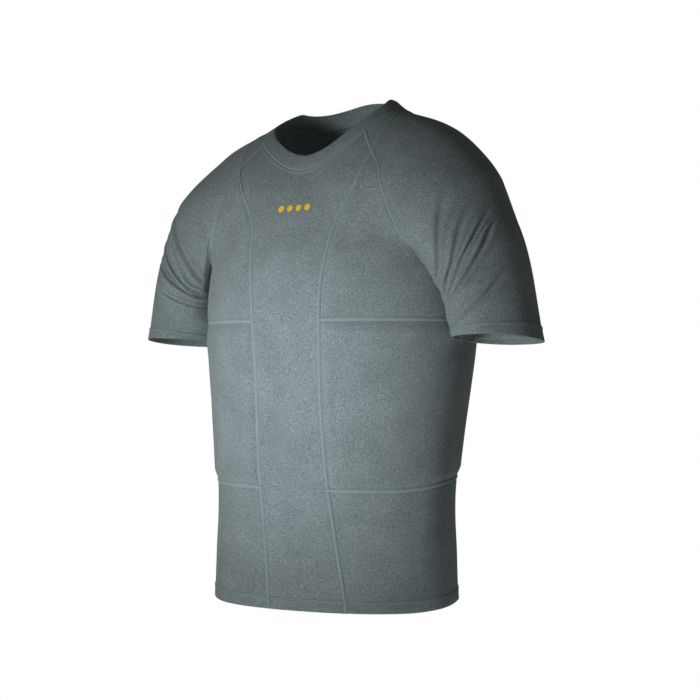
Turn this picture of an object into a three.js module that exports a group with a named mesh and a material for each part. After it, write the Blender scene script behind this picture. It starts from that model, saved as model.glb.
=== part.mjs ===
import * as THREE from 'three';

// Padded compression shirt, filled out as worn and empty inside.
// Millimetres, +Z up, the front faces -Y and the wearer's left is +X.
// The origin is where the shirt hangs on the shoulders: the middle of the neck, level with its side points.
// A "drop" is how far a place lies below that level, as a pattern cutter measures it.

// Pose
const SHOULDER_LEAN = 0.045;
const LEAN_REACH = 220;

// Cloth
const CLOTH = 1.4;
const PADDED_RISE = 2.6;
const SEAM_GAP = 0.3;
const JERSEY_COLOUR = 0x6f7f81;
const JERSEY_ROUGHNESS = 0.82;

// Torso sections, widest sizes of the filled shirt at each drop
const TORSO_COLUMNS = ['drop', 'halfWidth', 'front', 'back', 'middleY'];
const TORSO = [
  [-60, 60, 56, 52, 14],
  [-25, 66, 62, 58, 14],
  [0, 88, 70, 66, 14],
  [22, 118, 78, 76, 14],
  [50, 150, 88, 92, 12],
  [90, 172, 104, 106, 8],
  [140, 182, 122, 114, 4],
  [200, 190, 136, 116, 0],
  [260, 196, 138, 114, -2],
  [320, 192, 132, 110, -4],
  [390, 184, 126, 103, -8],
  [460, 175, 121, 95, -12],
  [520, 170, 116, 91, -14],
  [600, 170, 112, 92, -15],
  [720, 172, 108, 94, -15],
];
const TORSO_SQUARENESS = 2.3;

// Arm sections from the shoulder (0) to the cuff (1)
const ARM_COLUMNS = ['share', 'x', 'y', 'drop', 'across', 'deep'];
const ARM = [
  [0.0, 130, -8, 98, 66, 72],
  [0.3, 182, -23, 140, 67, 76],
  [0.6, 223, -22, 205, 62, 72],
  [1.0, 252, -23, 302, 54, 65],
  [1.2, 264, -24, 350, 54, 65],
];
const SHOULDER_BLEND = 34;
const UNDERARM_BLEND = 8;
const BLEND_FADE_FROM = 100;
const BLEND_FADE_TO = 210;

// Neckline and collar
const NECK_FRONT_DROP = 76;
const NECK_BACK_DROP = -16;
const COLLAR_HEIGHT = 20;
const COLLAR_THICK = 2.2;
const NECK_CURVE = 1.7;

// Rows and columns shared by neighbouring pieces, so that their seams run together
const YOKE_ROWS = 2;
const RAGLAN_ROWS = 12;
const UNDERARM_ROWS = 2;
const CHEST_ROWS = RAGLAN_ROWS - YOKE_ROWS + UNDERARM_ROWS;
const RIB_ROWS = 10;
const LOWER_ROWS = 8;
const FRONT_COLUMNS = 12;
const BACK_COLUMNS = 12;
const SLEEVE_COLUMNS = 28;

// Raglan seams as angle from the front and drop, from the neckline to the underarm
const RAGLAN_FRONT_START = 48;
const RAGLAN_BACK_START = 132;
const UNDERARM = [93, 236];
const RAGLAN_FRONT = [[54, 82], [60, 137], [68, 186], [78, 220]];
const RAGLAN_BACK = [[128, 82], [122, 137], [114, 186], [105, 220]];

// Panel seams of the body, from the raglan seam and from the underarm to the hem
const PRINCESS = [
  [31, 140],
  [24, 200],
  [22, 240],
  [21.5, 276],
  [22, 380],
  [24, 495],
  [25.5, 590],
  [27, 654],
];
const SIDE_SEAM = [[103, 276], [113, 340], [117, 410], [118, 495], [118, 654]];
const CHEST_SEAM_DROP = 276;
const RIB_SEAM_DROP = 495;
const HEM_DROP = 654;
const SIDE_RISE_COLUMNS = ['drop', 'rise'];
const SIDE_RISE = [[276, 0], [495, 14], [654, 8]];
const SIDE_RISE_ANGLES = [55, 110];

// Turn of the body about its own height, the hips towards the wearer's left
const TURN_COLUMNS = ['drop', 'degrees'];
const TURN = [[-60, 0], [300, 0], [400, 1], [495, 4], [580, 9], [657, 13], [720, 15]];

// Sleeve rings as a share along the arm, on its outer and its inner side
const ARMHOLE_RING = [0.5, 0.76];
const CUFF_RING = [1.055, 0.945];
const CUFF_FRONT_LIFT = 5;
const SIDE_CLEARANCE = 4;

const toRadians = THREE.MathUtils.degToRad;
const mix = (a, b, share) => a + (b - a) * share;
const TINY = 1e-9;
const FULL_TURN = 360;
const clamp01 = (value) => Math.min(1, Math.max(0, value));
const ease = (value) => {
  const t = clamp01(value);
  return t * t * (3 - 2 * t);
};

// Smooth value of a table's column at a place in its first column
function read(table, columns, name, place) {
  const k = columns.indexOf(name);
  const last = table.length - 1;
  const x = Math.min(table[last][0], Math.max(table[0][0], place));
  let i = 0;
  while (i < last - 1 && table[i + 1][0] < x) i += 1;
  const slope = (j) => {
    const a = table[Math.max(0, j - 1)];
    const b = table[Math.min(last, j + 1)];
    return (b[k] - a[k]) / (b[0] - a[0]);
  };
  const h = table[i + 1][0] - table[i][0];
  const t = (x - table[i][0]) / h;
  const t2 = t * t;
  const t3 = t2 * t;
  return (2 * t3 - 3 * t2 + 1) * table[i][k] + (t3 - 2 * t2 + t) * h * slope(i)
    + (3 * t2 - 2 * t3) * table[i + 1][k] + (t3 - t2) * h * slope(i + 1);
}

const torso = (name, drop) => read(TORSO, TORSO_COLUMNS, name, drop);
const arm = (name, share) => read(ARM, ARM_COLUMNS, name, share);

// Distance outside the torso, negative within
function outsideTorso(p) {
  const turn = toRadians(read(TURN, TURN_COLUMNS, 'degrees', -p.z));
  const ahead = p.y - torso('middleY', -p.z);
  const x = p.x * Math.cos(turn) + ahead * Math.sin(turn);
  const y = ahead * Math.cos(turn) - p.x * Math.sin(turn);
  const depth = torso(y < 0 ? 'front' : 'back', -p.z);
  const wide = (Math.abs(x) / torso('halfWidth', -p.z)) ** TORSO_SQUARENESS;
  const deep = (Math.abs(y) / depth) ** TORSO_SQUARENESS;
  const g = (wide + deep + TINY) ** (1 / TORSO_SQUARENESS);
  return ((g - 1) * Math.hypot(x, y, 1)) / g;
}

// The arm's line, its direction and its forward direction
const armCentre = (share) => new THREE.Vector3(arm('x', share), arm('y', share), -arm('drop', share));
const ARM_STEP = 0.02;
function armFrame(share) {
  const along = armCentre(share + ARM_STEP).sub(armCentre(share - ARM_STEP)).normalize();
  const forward = new THREE.Vector3(0, -1, 0).addScaledVector(along, along.y).normalize();
  const out = new THREE.Vector3().crossVectors(along, forward).normalize();
  if (out.x < 0) out.negate();
  return { centre: armCentre(share), along, forward, out };
}
const ARM_STEPS = 40;
const ARM_FIRST = 0.01;
const ARM_LAST = 1.19;
const armFrames = Array.from({ length: ARM_STEPS + 1 }, (_, i) => {
  const share = mix(ARM_FIRST, ARM_LAST, i / ARM_STEPS);
  return { ...armFrame(share), across: arm('across', share), deep: arm('deep', share) };
});

// Distance outside the arm, negative within
function outsideArm(p) {
  const q = new THREE.Vector3(Math.abs(p.x), p.y, p.z);
  let best = 0;
  armFrames.forEach((frame, i) => {
    if (frame.centre.distanceToSquared(q) < armFrames[best].centre.distanceToSquared(q)) best = i;
  });
  const distanceTo = (frame) => {
    const v = q.clone().sub(frame.centre);
    const along = v.dot(frame.along);
    const beyond = frame === armFrames[0] || frame === armFrames[ARM_STEPS] ? along : 0;
    const deep = v.dot(frame.forward);
    const across = Math.hypot(v.dot(frame.out), beyond);
    const g = Math.hypot(deep / frame.deep, across / frame.across, TINY);
    return { value: ((g - 1) * Math.hypot(deep, across)) / g, along };
  };
  const here = distanceTo(armFrames[best]);
  const beside = Math.min(ARM_STEPS, Math.max(0, best + Math.sign(here.along)));
  if (beside === best) return here.value;
  const there = distanceTo(armFrames[beside]);
  const span = Math.abs(here.along) + Math.abs(there.along);
  return mix(here.value, there.value, span > 0 ? Math.abs(here.along) / span : 0);
}

// Distance outside the whole filled shirt, the shoulders blended into the torso
const TORSO_SCALE = 0.75;
function outside(p) {
  const a = outsideTorso(p) * TORSO_SCALE;
  const b = outsideArm(p);
  const fade = clamp01((BLEND_FADE_TO + p.z) / (BLEND_FADE_TO - BLEND_FADE_FROM));
  const k = mix(UNDERARM_BLEND, SHOULDER_BLEND, fade);
  const low = Math.min(a, b);
  return low - k * Math.log(Math.exp((low - a) / k) + Math.exp((low - b) / k));
}

// Slope of such a distance, its direction pointing outwards
const SLOPE_STEP = 0.5;
function slopeOf(field, p) {
  const e = SLOPE_STEP;
  const at = (x, y, z) => field(new THREE.Vector3(p.x + x, p.y + y, p.z + z));
  return new THREE.Vector3(
    at(e, 0, 0) - at(-e, 0, 0),
    at(0, e, 0) - at(0, -e, 0),
    at(0, 0, e) - at(0, 0, -e),
  ).divideScalar(2 * e);
}

// Moved on to the surface where such a distance is nothing
function settle(field, p, steps = 6, furthest = 25) {
  const q = p.clone();
  for (let i = 0; i < steps; i += 1) {
    const slope = slopeOf(field, q);
    const far = Math.min(furthest, Math.max(-furthest, field(q)));
    q.addScaledVector(slope, -far / (slope.lengthSq() + TINY));
  }
  return q;
}

// How far the body's form is blended with the shoulders' at a drop
const JOIN_FADE_FROM = 150;
const JOIN_FADE_TO = 214;
const joinedShare = (drop) => 1 - ease((drop - JOIN_FADE_FROM) / (JOIN_FADE_TO - JOIN_FADE_FROM));

// Place on the body at an angle from the front and a drop, on the wearer's left for positive angles
const BODY_REACH = 260;
const HALVINGS = 30;
function bodyPlace(angle, drop) {
  const a = toRadians(angle + read(TURN, TURN_COLUMNS, 'degrees', drop));
  const middle = torso('middleY', drop);
  const at = (r) => new THREE.Vector3(r * Math.sin(a), middle - r * Math.cos(a), -drop);
  let low = 0;
  let high = BODY_REACH;
  for (let i = 0; i < HALVINGS; i += 1) {
    const half = (low + high) / 2;
    if (outsideTorso(at(half)) < 0) low = half;
    else high = half;
  }
  const plain = at(low);
  const joined = joinedShare(drop);
  if (joined === 0) return plain;
  return plain.clone().lerp(settle(outside, plain), joined);
}

// Neckline as a drop at each angle
function neckDrop(angle) {
  const forward = Math.cos(toRadians(angle));
  return forward > 0 ? NECK_FRONT_DROP * forward ** NECK_CURVE : NECK_BACK_DROP * forward ** 2;
}

// Smooth curve through seam rows, as share along it
function seamCurve(rows) {
  const points = rows.map(([angle, drop]) => new THREE.Vector3(angle, drop, 0));
  const curve = new THREE.CatmullRomCurve3(points, false, 'centripetal');
  return (share) => {
    const p = curve.getPoint(clamp01(share));
    return { angle: p.x, drop: p.y };
  };
}
const onNeckline = (angle) => [angle, neckDrop(angle)];
const raglanFront = seamCurve([onNeckline(RAGLAN_FRONT_START), ...RAGLAN_FRONT, UNDERARM]);
const raglanBack = seamCurve([onNeckline(RAGLAN_BACK_START), ...RAGLAN_BACK, UNDERARM]);
const princessTop = raglanFront(YOKE_ROWS / RAGLAN_ROWS);
const princess = seamCurve([[princessTop.angle, princessTop.drop], ...PRINCESS]);
const sideSeam = seamCurve([UNDERARM, ...SIDE_SEAM]);

// Angle of a seam at a drop
function angleAt(curve, drop) {
  let low = 0;
  let high = 1;
  for (let i = 0; i < HALVINGS; i += 1) {
    const half = (low + high) / 2;
    if (curve(half).drop < drop) low = half;
    else high = half;
  }
  return curve(low).angle;
}

// Outward directions of a grid of places
function faceOut(places, ringed = false) {
  const columns = places[0].length;
  const out = places.map((row) => row.map(() => new THREE.Vector3()));
  for (let i = 0; i < places.length - 1; i += 1) {
    for (let j = 0; j < (ringed ? columns : columns - 1); j += 1) {
      const next = (j + 1) % columns;
      const fall = places[i + 1][next].clone().sub(places[i][j]);
      const face = fall.cross(places[i][next].clone().sub(places[i + 1][j]));
      [[i, j], [i + 1, j], [i + 1, next], [i, next]].forEach(([r, c]) => out[r][c].add(face));
    }
  }
  return out.map((row) => row.map((v) => v.normalize()));
}

// The shoulders stand a little lower on the wearer's right
function leanShoulders(p) {
  p.z += p.x * SHOULDER_LEAN * ease((p.z + LEAN_REACH) / LEAN_REACH);
}

// A wall of cloth from a grid of outer places, its inner side a thickness further in
function wall(grid, thickness, ringed = false) {
  const rows = grid.length;
  const columns = grid[0].length;
  const spread = ringed ? columns : columns - 1;
  const outer = grid.flat().map((cell) => cell.place.clone());
  const corner = (i, j) => i * columns + (j % columns);
  const cells = [];
  for (let i = 0; i < rows - 1; i += 1) {
    for (let j = 0; j < spread; j += 1) {
      cells.push([corner(i, j), corner(i + 1, j), corner(i + 1, j + 1), corner(i, j + 1)]);
    }
  }
  const inner = grid.flat().map((cell) => cell.lining.clone().addScaledVector(cell.out, -thickness));
  [...outer, ...inner].forEach(leanShoulders);
  const count = outer.length;
  const faces = [];
  const quad = (a, b, c, d) => faces.push(a, b, c, a, c, d);
  cells.forEach(([a, b, c, d]) => {
    quad(a, b, c, d);
    quad(count + a, count + d, count + c, count + b);
  });
  for (let j = 0; j < spread; j += 1) {
    const top = [corner(0, j), corner(0, j + 1)];
    const foot = [corner(rows - 1, j), corner(rows - 1, j + 1)];
    quad(top[0], top[1], count + top[1], count + top[0]);
    quad(foot[1], foot[0], count + foot[0], count + foot[1]);
  }
  if (!ringed) {
    for (let i = 0; i < rows - 1; i += 1) {
      const left = [corner(i, 0), corner(i + 1, 0)];
      const right = [corner(i, columns - 1), corner(i + 1, columns - 1)];
      quad(left[1], left[0], count + left[0], count + left[1]);
      quad(right[0], right[1], count + right[1], count + right[0]);
    }
  }
  const numbers = [...outer, ...inner].flatMap((corners) => corners.toArray());
  const geometry = new THREE.BufferGeometry();
  geometry.setAttribute('position', new THREE.Float32BufferAttribute(numbers, 3));
  geometry.setIndex(faces);
  return geometry;
}

const BODY_SIDES = { left: 1, right: -1 };

// A level on the body, which rises towards the sides
function bodyLevel(angle, drop) {
  const [from, to] = SIDE_RISE_ANGLES;
  const rise = read(SIDE_RISE, SIDE_RISE_COLUMNS, 'rise', drop);
  const turned = Math.min(Math.abs(angle), FULL_TURN - Math.abs(angle));
  return drop - rise * ease((turned - from) / (to - from));
}

// A cell of cloth on the body: its outer place, its place before any pad and its outward direction
function bodyCell(angle, drop, lift = 0) {
  const level = bodyLevel(angle, drop);
  const lining = bodyPlace(angle, level);
  const joined = joinedShare(level);
  const out = slopeOf(outsideTorso, lining).normalize();
  if (joined > 0) out.lerp(slopeOf(outside, lining).normalize(), joined).normalize();
  return { place: lining.clone().addScaledVector(out, lift), lining, out };
}

// Rows down a panel, columns from the wearer's right to the left, kept half a seam gap inside its edges
function bodyPanel({ columns, rightEdge, leftEdge, dip = () => 0, lift = () => 0 }) {
  const last = rightEdge.length - 1;
  return rightEdge.map((from, i) => {
    const to = leftEdge[i];
    const radius = (torso('halfWidth', from.drop) + torso('front', from.drop)) / 2;
    const inset = THREE.MathUtils.radToDeg(SEAM_GAP / 2 / radius);
    return Array.from({ length: columns + 1 }, (_, j) => {
      const across = j / columns;
      const angle = mix(from.angle + inset, to.angle - inset, across);
      const drop = mix(from.drop, to.drop, across) + dip(i / last, across);
      return bodyCell(angle, drop, lift(i / last, across));
    });
  });
}

const mirrored = (seam) => ({ angle: -seam.angle, drop: seam.drop });
const onSide = (side, near, far) => (side > 0
  ? { rightEdge: near, leftEdge: far }
  : { rightEdge: far.map(mirrored), leftEdge: near.map(mirrored) });

// A pad's rise, full inside and fading to its seams
const PAD_EDGE = 0.16;
function padLift(rise) {
  return (down, across) => rise * ease(Math.min(down, 1 - down) / PAD_EDGE)
    * ease(Math.min(across, 1 - across) / PAD_EDGE);
}

// Rows of a piece between two drops on a seam, half a seam gap inside both
function seamRows(curve, topDrop, lowDrop, rows) {
  return Array.from({ length: rows + 1 }, (_, i) => {
    const inset = i === 0 ? SEAM_GAP / 2 : i === rows ? -SEAM_GAP / 2 : 0;
    const drop = mix(topDrop, lowDrop, i / rows) + inset;
    return { angle: angleAt(curve, drop), drop };
  });
}
const raglanRows = (curve, from) => Array.from(
  { length: RAGLAN_ROWS - from + 1 },
  (_, i) => curve((from + i) / RAGLAN_ROWS),
);
const joinRows = (...runs) => runs.flatMap((run, k) => (k === 0 ? run : run.slice(1)));

// The top row of a panel follows the neckline and the rows below it straighten out
const NECK_DIP_REACH = 0.32;
const neckDip = (from, to) => (down, across) => SEAM_GAP / 2
  + (neckDrop(mix(from, to, across)) - neckDrop(from)) * (1 - ease(down / NECK_DIP_REACH));

// The front's middle runs unbroken from the neck, along the raglan seam and down the princess seam
function frontMiddle() {
  const edge = joinRows(
    raglanRows(raglanFront, 0).slice(0, YOKE_ROWS + 1),
    seamRows(princess, princessTop.drop, CHEST_SEAM_DROP, CHEST_ROWS),
    seamRows(princess, CHEST_SEAM_DROP, RIB_SEAM_DROP, RIB_ROWS),
    seamRows(princess, RIB_SEAM_DROP, HEM_DROP, LOWER_ROWS),
  );
  return bodyPanel({
    columns: FRONT_COLUMNS,
    rightEdge: edge.map(mirrored),
    leftEdge: edge,
    dip: neckDip(-RAGLAN_FRONT_START, RAGLAN_FRONT_START),
  });
}

// The chest pieces lie between the princess and raglan seams, down to the chest seam
const CHEST_COLUMNS = 8;
const CHEST_EASE = 0.12;
const chest = (side) => bodyPanel({
  columns: CHEST_COLUMNS,
  ...onSide(
    side,
    seamRows(princess, princessTop.drop + SEAM_GAP, CHEST_SEAM_DROP, CHEST_ROWS)
      .map((seam) => ({ angle: seam.angle + CHEST_EASE, drop: seam.drop })),
    joinRows(
      raglanRows(raglanFront, YOKE_ROWS),
      seamRows(sideSeam, UNDERARM[1], CHEST_SEAM_DROP, UNDERARM_ROWS),
    ),
  ),
  lift: padLift(PADDED_RISE / 2),
});

// The padded rib pieces wrap from the princess seam to the side seam, with the plain lower pieces below
const RIB_COLUMNS = 9;
const sidePiece = (side, topDrop, lowDrop, rows, rise) => bodyPanel({
  columns: RIB_COLUMNS,
  ...onSide(side, seamRows(princess, topDrop, lowDrop, rows), seamRows(sideSeam, topDrop, lowDrop, rows)),
  lift: padLift(rise),
});
const rib = (side) => sidePiece(side, CHEST_SEAM_DROP, RIB_SEAM_DROP, RIB_ROWS, PADDED_RISE);
const lower = (side) => sidePiece(side, RIB_SEAM_DROP, HEM_DROP, LOWER_ROWS, 0);

// The back is one piece between the raglan seams and the side seams
function back() {
  const edge = joinRows(
    raglanRows(raglanBack, 0),
    seamRows(sideSeam, UNDERARM[1], CHEST_SEAM_DROP, UNDERARM_ROWS),
    seamRows(sideSeam, CHEST_SEAM_DROP, RIB_SEAM_DROP, RIB_ROWS),
    seamRows(sideSeam, RIB_SEAM_DROP, HEM_DROP, LOWER_ROWS),
  );
  return bodyPanel({
    columns: BACK_COLUMNS,
    rightEdge: edge,
    leftEdge: edge.map((seam) => ({ angle: FULL_TURN - seam.angle, drop: seam.drop })),
    dip: neckDip(RAGLAN_BACK_START, FULL_TURN - RAGLAN_BACK_START),
  });
}

// Sleeves, made for the wearer's left and mirrored
const SLEEVE_ROWS = 22;
const HALF_TURN = 180;

// Folds from a place near the underarm to a place further round, as shares down and round the sleeve
const FOLD_COLUMNS = ['fromDown', 'fromRound', 'toDown', 'toRound', 'width', 'depth'];
const FOLDS = [
  [0.50, 0.06, 0.30, 0.20, 0.020, 3.2],
  [0.53, 0.07, 0.36, 0.27, 0.018, 2.6],
  [0.56, 0.08, 0.44, 0.32, 0.018, 3.0],
  [0.60, 0.09, 0.54, 0.35, 0.020, 2.4],
  [0.76, 0.08, 0.64, 0.34, 0.022, 3.0],
  [0.52, 0.93, 0.33, 0.76, 0.022, 3.0],
  [0.58, 0.92, 0.45, 0.70, 0.020, 2.6],
  [0.72, 0.91, 0.62, 0.68, 0.024, 2.8],
];

const FOLD_BLUNT = 0.12;

// How deep the folds press the cloth in at a share down and a share round the sleeve
function foldDepth(down, round) {
  let deepest = 0;
  FOLDS.forEach((row) => {
    const fold = Object.fromEntries(FOLD_COLUMNS.map((name, k) => [name, row[k]]));
    const run = new THREE.Vector2(fold.toDown - fold.fromDown, fold.toRound - fold.fromRound);
    const here = new THREE.Vector2(down - fold.fromDown, round - fold.fromRound);
    const kept = clamp01(here.dot(run) / run.lengthSq());
    const away = here.addScaledVector(run, -kept).length();
    const taper = Math.sin(Math.PI * mix(FOLD_BLUNT, 1, kept));
    deepest = Math.max(deepest, fold.depth * taper * Math.exp(-((away / fold.width) ** 2)));
  });
  return deepest;
}

// A place round the arm, its ring leaning between an outer and an inner share of the arm
function armPlace(ring, round) {
  const turn = toRadians(HALF_TURN - 2 * HALF_TURN * round);
  const share = mix(ring[0], ring[1], (1 - Math.cos(turn)) / 2);
  const { centre, out, forward } = armFrame(share);
  return centre
    .addScaledVector(out, Math.cos(turn) * arm('across', share))
    .addScaledVector(forward, Math.sin(turn) * arm('deep', share));
}

// Pressed flat where it would enter the body, more sideways than forwards
const PRESS_STEPS = 14;
const PRESS_FORWARD = 0.35;
const PRESS_LEAST = 0.1;
function clearOfBody(p, clearance = SIDE_CLEARANCE) {
  const q = p.clone();
  for (let i = 0; i < PRESS_STEPS; i += 1) {
    const inside = clearance - outsideTorso(q);
    if (inside <= 0) break;
    const push = slopeOf(outsideTorso, q);
    const away = push.clone();
    away.y *= PRESS_FORWARD;
    q.addScaledVector(away, inside / Math.max(away.dot(push), PRESS_LEAST));
  }
  return q;
}

// The ring at the foot of the armhole lies on the shoulder above and meets the underarm below
const SHOULDER_SPAN = [0.5, 0.8];
const UNDERARM_SPAN = [0.7, 1];
const underarmPlace = bodyPlace(...UNDERARM);
const fromTop = (round, [start, end]) => ease((Math.abs(2 * round - 1) - start) / (end - start));
const onShoulder = (round) => 1 - fromTop(round, SHOULDER_SPAN);
function armholePlace(round) {
  const plain = clearOfBody(armPlace(ARMHOLE_RING, round));
  const joined = plain.clone().lerp(settle(outside, plain), onShoulder(round));
  return joined.lerp(underarmPlace, fromTop(round, UNDERARM_SPAN));
}

// Between the neckline, the two raglan seams and the armhole ring, settled on the shoulder
const SEAM_HOLD = 0.12;
const RING_HOLD = 0.6;
const SHOULDER_STEPS = 8;
const SHOULDER_FURTHEST = 60;
function shoulderPlace(down, round) {
  const neckAngle = mix(RAGLAN_FRONT_START, RAGLAN_BACK_START, round);
  const neck = bodyPlace(neckAngle, neckDrop(neckAngle) + SEAM_GAP / 2);
  const low = armholePlace(round);
  const seamPlace = (curve, share) => {
    const seam = curve(share);
    return bodyPlace(seam.angle, seam.drop);
  };
  const front = seamPlace(raglanFront, down);
  const rear = seamPlace(raglanBack, down);
  const corners = [
    seamPlace(raglanFront, 0).lerp(seamPlace(raglanBack, 0), round),
    underarmPlace.clone(),
  ];
  const p = neck.multiplyScalar(1 - down)
    .addScaledVector(low, down)
    .addScaledVector(front, 1 - round)
    .addScaledVector(rear, round)
    .addScaledVector(corners[0], down - 1)
    .addScaledVector(corners[1], -down);
  const inside = mix(joinedShare(-p.z), 1, ease(Math.min(round, 1 - round) / SEAM_HOLD));
  const nearRing = mix(1, onShoulder(round), ease((down - RING_HOLD) / (1 - RING_HOLD)));
  return p.lerp(settle(outside, p, SHOULDER_STEPS, SHOULDER_FURTHEST), inside * nearRing);
}

// Below the armhole the sleeve is a tube round the arm
const RING_REACH = 0.5;
function tubePlace(down, round) {
  const ring = ARMHOLE_RING.map((share, k) => mix(share, CUFF_RING[k], down));
  const front = Math.sin(toRadians(HALF_TURN - 2 * HALF_TURN * round));
  const plain = clearOfBody(armPlace(ring, round));
  plain.z += CUFF_FRONT_LIFT * front * ease(down);
  const start = armholePlace(round).sub(clearOfBody(armPlace(ARMHOLE_RING, round)));
  return plain.addScaledVector(start, 1 - ease(down / RING_REACH));
}

// A sleeve's place by row, kept clear of the body but for its sewn edge
const CLEAR_FROM = 110;
const CLEAR_REACH = 50;
const CLEAR_EDGE = 0.034;
const CLEAR_ROWS = 2;
function sleevePlace(i, round) {
  const p = i < RAGLAN_ROWS
    ? shoulderPlace(i / RAGLAN_ROWS, round)
    : tubePlace((i - RAGLAN_ROWS) / (SLEEVE_ROWS - RAGLAN_ROWS), round);
  const fromSeam = ease(Math.min(round, 1 - round) / CLEAR_EDGE);
  const fromEdge = Math.max(fromSeam, ease((i - RAGLAN_ROWS) / CLEAR_ROWS));
  const besideBody = ease((-p.z - CLEAR_FROM) / CLEAR_REACH) * fromEdge;
  return besideBody > 0 ? clearOfBody(p, SIDE_CLEARANCE * besideBody) : p;
}

// Both parts of a sleeve as one grid, its edges sewn along the raglan seams and under the arm
const SLEEVE_GIRTH = 370;
function sleeve(side) {
  const inset = SEAM_GAP / 2 / SLEEVE_GIRTH;
  const rounds = Array.from(
    { length: SLEEVE_COLUMNS + 1 },
    (_, j) => mix(inset, 1 - inset, j / SLEEVE_COLUMNS),
  );
  const smoothGrid = Array.from(
    { length: SLEEVE_ROWS + 1 },
    (_, i) => rounds.map((round) => sleevePlace(i, round)),
  );
  const smoothOut = faceOut(smoothGrid);
  const folded = smoothGrid.map((row, i) => row.map((place, j) => {
    const depth = foldDepth(i / SLEEVE_ROWS, rounds[j]);
    return place.clone().addScaledVector(smoothOut[i][j], -depth);
  }));
  const out = faceOut(folded);
  const cells = folded.map((row, i) => row.map((place, j) => {
    const onSeam = i < RAGLAN_ROWS && (j === 0 || j === SLEEVE_COLUMNS);
    const share = i / RAGLAN_ROWS;
    const seam = onSeam ? (j === 0 ? raglanFront : raglanBack)(share) : null;
    const facing = onSeam ? bodyCell(seam.angle, seam.drop).out : out[i][j];
    return { place, lining: place, out: facing };
  }));
  if (side > 0) return cells;
  const flip = (v) => new THREE.Vector3(-v.x, v.y, v.z);
  return cells.map((row) => row
    .map((cell) => ({ place: flip(cell.place), lining: flip(cell.lining), out: flip(cell.out) }))
    .reverse());
}

// The collar is a ring of doubled cloth standing on the neckline, its columns those of the pieces below
const COLLAR_ROWS = 2;
function collar() {
  const run = (from, to, columns) => Array.from(
    { length: columns },
    (_, j) => mix(from, to, j / columns),
  );
  const angles = [
    ...run(-RAGLAN_FRONT_START, RAGLAN_FRONT_START, FRONT_COLUMNS),
    ...run(RAGLAN_FRONT_START, RAGLAN_BACK_START, SLEEVE_COLUMNS),
    ...run(RAGLAN_BACK_START, FULL_TURN - RAGLAN_BACK_START, BACK_COLUMNS),
    ...run(FULL_TURN - RAGLAN_BACK_START, FULL_TURN - RAGLAN_FRONT_START, SLEEVE_COLUMNS),
  ];
  return Array.from({ length: COLLAR_ROWS + 1 }, (_, i) => {
    const rise = mix(COLLAR_HEIGHT, SEAM_GAP / 2, i / COLLAR_ROWS);
    return angles.map((angle) => bodyCell(angle, neckDrop(angle) - rise));
  });
}

const shirt = new THREE.Group();
shirt.name = 'padded_compression_shirt';
function addPiece(name, geometry) {
  const jersey = new THREE.MeshStandardMaterial({
    color: JERSEY_COLOUR,
    roughness: JERSEY_ROUGHNESS,
    metalness: 0,
  });
  const mesh = new THREE.Mesh(geometry, jersey);
  mesh.name = name;
  shirt.add(mesh);
}
addPiece('front_middle', wall(frontMiddle(), CLOTH));
addPiece('back', wall(back(), CLOTH));
Object.entries(BODY_SIDES).forEach(([name, side]) => {
  addPiece(`chest_${name}`, wall(chest(side), CLOTH));
  addPiece(`rib_${name}`, wall(rib(side), CLOTH));
  addPiece(`lower_${name}`, wall(lower(side), CLOTH));
  addPiece(`sleeve_${name}`, wall(sleeve(side), CLOTH));
});
addPiece('collar', wall(collar(), COLLAR_THICK, true));

export default shirt;
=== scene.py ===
import math

import bmesh
import bpy
import numpy as np
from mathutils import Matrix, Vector


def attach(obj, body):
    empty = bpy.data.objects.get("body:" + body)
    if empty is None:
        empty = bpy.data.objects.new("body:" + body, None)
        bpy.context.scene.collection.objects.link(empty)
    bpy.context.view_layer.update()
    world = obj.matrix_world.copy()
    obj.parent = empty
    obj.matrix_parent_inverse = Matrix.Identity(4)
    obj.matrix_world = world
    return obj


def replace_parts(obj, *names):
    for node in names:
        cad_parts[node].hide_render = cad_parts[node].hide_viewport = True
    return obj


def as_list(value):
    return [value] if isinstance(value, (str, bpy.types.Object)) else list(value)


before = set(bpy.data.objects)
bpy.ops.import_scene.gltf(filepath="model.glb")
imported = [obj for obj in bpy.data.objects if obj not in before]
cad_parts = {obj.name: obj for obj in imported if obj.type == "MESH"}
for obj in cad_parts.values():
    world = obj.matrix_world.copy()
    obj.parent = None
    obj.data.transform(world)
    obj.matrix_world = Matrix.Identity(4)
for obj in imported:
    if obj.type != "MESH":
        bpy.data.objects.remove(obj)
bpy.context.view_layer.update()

# Sizes are in millimetres as in the part, and turned to metres when a mesh is made.
# Angles are degrees round the body from the middle of the front, positive to the wearer's left.
# A drop is how far a place lies below the side points of the neck.
MM = 0.001

# Camera and view
VIEW_ANGLE = 33.0
VIEW_DISTANCE = 1914.0
VIEW_LEVEL = -333.0
VIEW_SHIFT = (0.0114, 0.02)
LENS = 71.3

# Pose
SHOULDER_LEAN = 0.045
LEAN_REACH = 220.0

# Cloth
CLOTH = 1.3
PAD_THICK = 3.6
PADDED_RISE = 2.6
SEAM_GAP = 0.3

TORSO_COLUMNS = ("drop", "half_width", "front", "back", "middle_y")
TORSO = (
    (-60, 60, 56, 52, 14),
    (-25, 66, 62, 58, 14),
    (0, 88, 70, 66, 14),
    (22, 118, 78, 76, 14),
    (50, 150, 88, 92, 12),
    (90, 172, 104, 106, 8),
    (140, 182, 122, 114, 4),
    (200, 190, 136, 116, 0),
    (260, 196, 138, 114, -2),
    (320, 192, 132, 110, -4),
    (390, 184, 126, 103, -8),
    (460, 175, 121, 95, -12),
    (520, 170, 116, 91, -14),
    (600, 170, 112, 92, -15),
    (720, 172, 108, 94, -15),
)
TORSO_SQUARENESS = 2.3

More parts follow.
